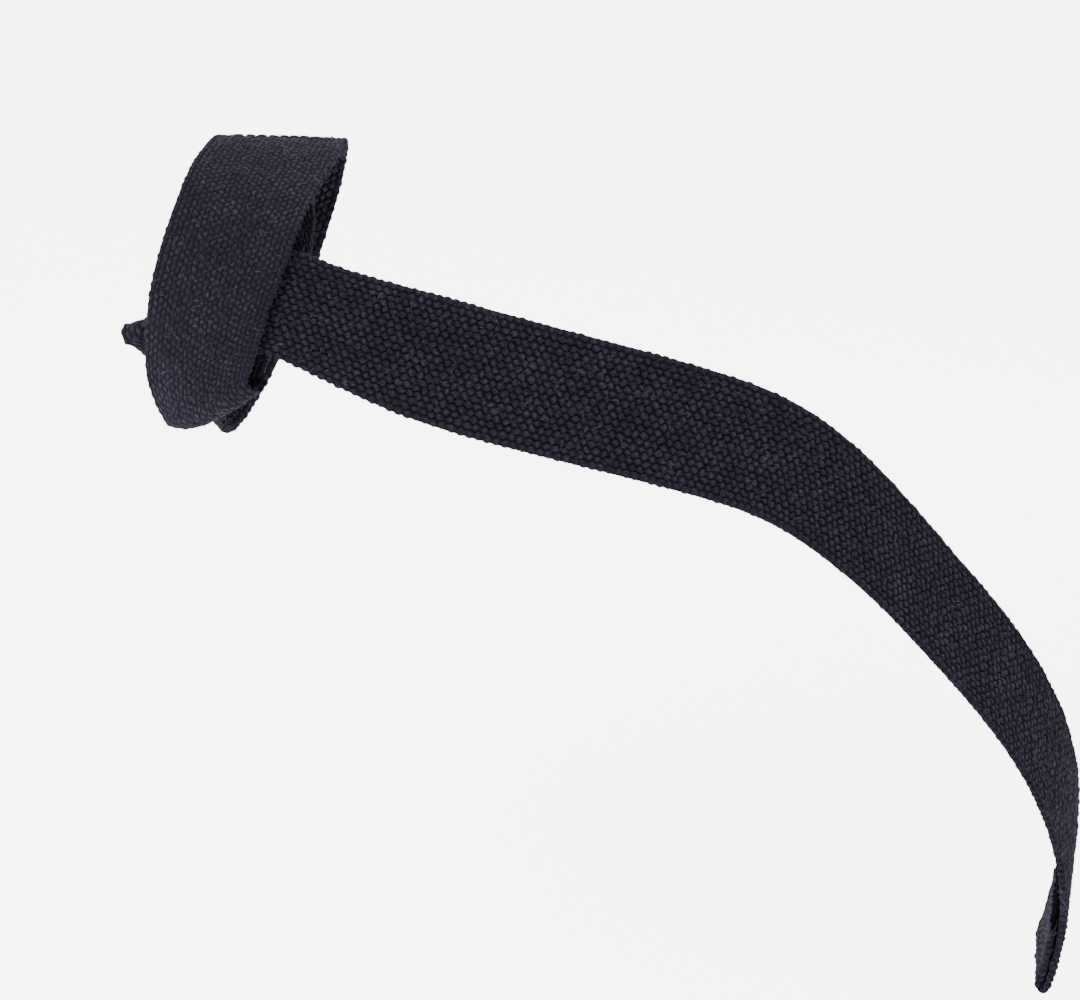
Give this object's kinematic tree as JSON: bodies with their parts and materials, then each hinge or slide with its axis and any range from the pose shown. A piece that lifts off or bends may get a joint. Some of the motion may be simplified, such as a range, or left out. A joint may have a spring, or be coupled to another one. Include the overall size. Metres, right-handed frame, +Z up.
{
  "type": "weightlifting strap",
  "caption": "Lasso lifting strap in its worn form: a sewn webbing eye over the front of the wrist, a full loop round it, and a free end that leaves through the eye, lies out and hangs.",
  "frame": {"origin": "middle of the hollow for the wrist, on the wrist's own line, under the eye", "axes": "+Z up, +X towards the hand and the free end, -Y out of the palm's side towards the viewer; the wrist's line slopes 23.5 degrees down towards +X"},
  "size_m": [0.3011, 0.0896, 0.2767],
  "materials": {
    "cotton_webbing": "matte, soft cotton"
  },
  "bodies": {
    "root": {"webbing_strap": "cotton_webbing"}
  },
  "joints": []
}
